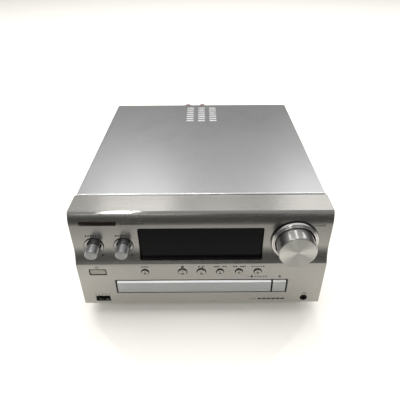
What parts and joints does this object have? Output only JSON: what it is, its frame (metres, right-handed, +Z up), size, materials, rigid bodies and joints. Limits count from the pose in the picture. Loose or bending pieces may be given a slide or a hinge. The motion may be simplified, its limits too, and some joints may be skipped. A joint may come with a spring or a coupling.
{
  "type": "cd player",
  "caption": "Compact silver hi-fi disc player with a drawer loader, black display, round volume and tone knobs, function keys, rear speaker terminals and rubber feet.",
  "frame": {"origin": "middle of the footprint's bounding box, on the surface the feet stand on", "axes": "+X to the right seen from the front, +Y to the rear, +Z up; the fascia faces -Y"},
  "size_m": [0.2124, 0.267, 0.114],
  "materials": {
    "cover_steel": "satin silver paint",
    "chassis_steel": "zinc-plated sheet",
    "fascia_aluminium": "horizontal hairline brushing, warm silver",
    "drawer_aluminium": "satin with a bright edge",
    "knob_aluminium": "spun and polished",
    "bright_trim": "polished",
    "key_metal": "fine spun",
    "display_glass": "glossy black",
    "black_plastic": "fine grain",
    "grey_plastic": "moulded",
    "white_plastic": "moulded",
    "circuit_board": "solder mask",
    "component_body": "moulded and sleeved",
    "core_iron": "varnished",
    "sink_aluminium": "extruded",
    "pad_rubber": "matt",
    "belt_rubber": "smooth",
    "screw_steel": "bright zinc",
    "gold_contact": "gold plated",
    "motor_steel": "drawn can",
    "red_plastic": "translucent-looking red",
    "louvre_plastic": "white moulding"
  },
  "bodies": {
    "cabinet": {"top_cover": "cover_steel", "vent_louvre": "louvre_plastic", "bottom_chassis": "chassis_steel", "rear_panel": "chassis_steel", "front_panel": "fascia_aluminium", "display_bezel": "black_plastic", "display_window": "display_glass", "display_module": "grey_plastic", "front_board": "circuit_board", "button_board": "circuit_board", "volume_collar": "bright_trim", "tone_collars": "bright_trim", "knob_controls": "grey_plastic", "usb_port": "screw_steel", "headphone_jack": "black_plastic", "main_board": "circuit_board", "board_parts": "component_body", "transformer": "core_iron", "heat_sink": "sink_aluminium", "loader_chassis": "black_plastic", "loading_motor": "motor_steel", "loading_belt": "belt_rubber", "feet": "grey_plastic", "foot_pads": "pad_rubber", "case_screws": "screw_steel", "terminal_block": "black_plastic", "speaker_posts": "gold_contact", "rca_jacks": "gold_contact", "optical_socket": "black_plastic", "antenna_socket": "gold_contact", "ac_inlet": "black_plastic"},
    "volume_dial": {"volume_knob": "knob_aluminium", "volume_shaft": "screw_steel"},
    "bass_dial": {"bass_knob": "knob_aluminium"},
    "treble_dial": {"treble_knob": "knob_aluminium"},
    "power_key": {"power_button": "key_metal"},
    "radio_key": {"radio_button": "key_metal"},
    "stop_key": {"stop_button": "key_metal"},
    "play_key": {"play_button": "key_metal"},
    "back_key": {"back_button": "key_metal"},
    "forward_key": {"forward_button": "key_metal"},
    "selector_key": {"selector_button": "key_metal"},
    "eject_key": {"eject_button": "drawer_aluminium"},
    "drawer": {"disc_tray": "black_plastic", "tray_front": "drawer_aluminium"},
    "drive_gear": {"tray_drive_gear": "white_plastic"},
    "pulley": {"belt_pulley": "white_plastic"},
    "motor_wheel": {"motor_pulley": "white_plastic"},
    "traverse": {"traverse_frame": "motor_steel", "guide_rods": "screw_steel", "traverse_motors": "motor_steel"},
    "disc_table": {"turntable": "black_plastic"},
    "pickup": {"pickup_sled": "black_plastic"},
    "feed_screw": {"sled_screw": "screw_steel"},
    "clamp_puck": {"disc_clamp": "white_plastic"},
    "cap_left_upper": {"left_upper_cap": "red_plastic"},
    "cap_left_lower": {"left_lower_cap": "black_plastic"},
    "cap_right_upper": {"right_upper_cap": "red_plastic"},
    "cap_right_lower": {"right_lower_cap": "black_plastic"}
  },
  "joints": [
    {"name": "drawer_slide", "type": "slide", "parent": "cabinet", "child": "drawer", "axis": [0, -1, 0], "range_m": [0, 0.128]},
    {"name": "drive_gear_spin", "type": "hinge", "parent": "cabinet", "child": "drive_gear", "pos_m": [-0.0533, -0.0985, 0.0265], "axis": [0, 0, 1], "range_deg": [0, 734]},
    {"name": "pulley_spin", "type": "hinge", "parent": "cabinet", "child": "pulley", "pos_m": [-0.0341, -0.0985, 0.0225], "axis": [0, 0, 1], "range_deg": [-2201, 0]},
    {"name": "motor_wheel_spin", "type": "hinge", "parent": "cabinet", "child": "motor_wheel", "pos_m": [-0.0023, -0.0985, 0.0225], "axis": [0, 0, 1], "range_deg": [-6601, 0]},
    {"name": "traverse_tilt", "type": "hinge", "parent": "cabinet", "child": "traverse", "pos_m": [-0.0063, 0.0375, 0.0305], "axis": [1, 0, 0], "range_deg": [0, 5]},
    {"name": "disc_spin", "type": "hinge", "parent": "traverse", "child": "disc_table", "pos_m": [-0.0063, -0.0485, 0.0305], "axis": [0, 0, 1], "continuous": true},
    {"name": "pickup_slide", "type": "slide", "parent": "traverse", "child": "pickup", "axis": [0, 1, 0], "range_m": [0, 0.036]},
    {"name": "feed_screw_spin", "type": "hinge", "parent": "traverse", "child": "feed_screw", "pos_m": [0.0257, -0.0025, 0.0305], "axis": [0, 1, 0], "range_deg": [-4321, 0]},
    {"name": "clamp_spin", "type": "hinge", "parent": "cabinet", "child": "clamp_puck", "pos_m": [-0.0063, -0.0485, 0.0435], "axis": [0, 0, 1], "continuous": true},
    {"name": "volume_turn", "type": "hinge", "parent": "cabinet", "child": "volume_dial", "pos_m": [0.0765, -0.1225, 0.085], "axis": [0, -1, 0], "continuous": true},
    {"name": "bass_turn", "type": "hinge", "parent": "cabinet", "child": "bass_dial", "pos_m": [-0.0885, -0.1225, 0.0804], "axis": [0, -1, 0], "range_deg": [-140, 140]},
    {"name": "treble_turn", "type": "hinge", "parent": "cabinet", "child": "treble_dial", "pos_m": [-0.064, -0.1225, 0.0804], "axis": [0, -1, 0], "range_deg": [-140, 140]},
    {"name": "power_press", "type": "slide", "parent": "cabinet", "child": "power_key", "axis": [0, 1, 0], "range_m": [0, 0.0007], "stiffness_N_per_m": 600},
    {"name": "radio_press", "type": "slide", "parent": "cabinet", "child": "radio_key", "axis": [0, 1, 0], "range_m": [0, 0.0007], "stiffness_N_per_m": 600},
    {"name": "stop_press", "type": "slide", "parent": "cabinet", "child": "stop_key", "axis": [0, 1, 0], "range_m": [0, 0.0007], "stiffness_N_per_m": 600},
    {"name": "play_press", "type": "slide", "parent": "cabinet", "child": "play_key", "axis": [0, 1, 0], "range_m": [0, 0.0007], "stiffness_N_per_m": 600},
    {"name": "back_press", "type": "slide", "parent": "cabinet", "child": "back_key", "axis": [0, 1, 0], "range_m": [0, 0.0007], "stiffness_N_per_m": 600},
    {"name": "forward_press", "type": "slide", "parent": "cabinet", "child": "forward_key", "axis": [0, 1, 0], "range_m": [0, 0.0007], "stiffness_N_per_m": 600},
    {"name": "selector_press", "type": "slide", "parent": "cabinet", "child": "selector_key", "axis": [0, 1, 0], "range_m": [0, 0.0007], "stiffness_N_per_m": 600},
    {"name": "eject_press", "type": "slide", "parent": "cabinet", "child": "eject_key", "axis": [0, 1, 0], "range_m": [0, 0.0007], "stiffness_N_per_m": 600},
    {"name": "cap_left_upper_turn", "type": "hinge", "parent": "cabinet", "child": "cap_left_upper", "pos_m": [-0.0181, 0.1225, 0.097], "axis": [0, 1, 0], "continuous": true},
    {"name": "cap_left_lower_turn", "type": "hinge", "parent": "cabinet", "child": "cap_left_lower", "pos_m": [-0.0181, 0.1225, 0.078], "axis": [0, 1, 0], "continuous": true},
    {"name": "cap_right_upper_turn", "type": "hinge", "parent": "cabinet", "child": "cap_right_upper", "pos_m": [0.0009, 0.1225, 0.097], "axis": [0, 1, 0], "continuous": true},
    {"name": "cap_right_lower_turn", "type": "hinge", "parent": "cabinet", "child": "cap_right_lower", "pos_m": [0.0009, 0.1225, 0.078], "axis": [0, 1, 0], "continuous": true}
  ],
  "couplings": [
    {"joint": "drive_gear_spin", "follows": "drawer_slide", "rad_per_m": 100},
    {"joint": "pulley_spin", "follows": "drawer_slide", "rad_per_m": -300},
    {"joint": "motor_wheel_spin", "follows": "drawer_slide", "rad_per_m": -900},
    {"joint": "feed_screw_spin", "follows": "pickup_slide", "rad_per_m": -2094.4},
    {"joint": "clamp_spin", "follows": "disc_spin", "ratio": 1}
  ]
}
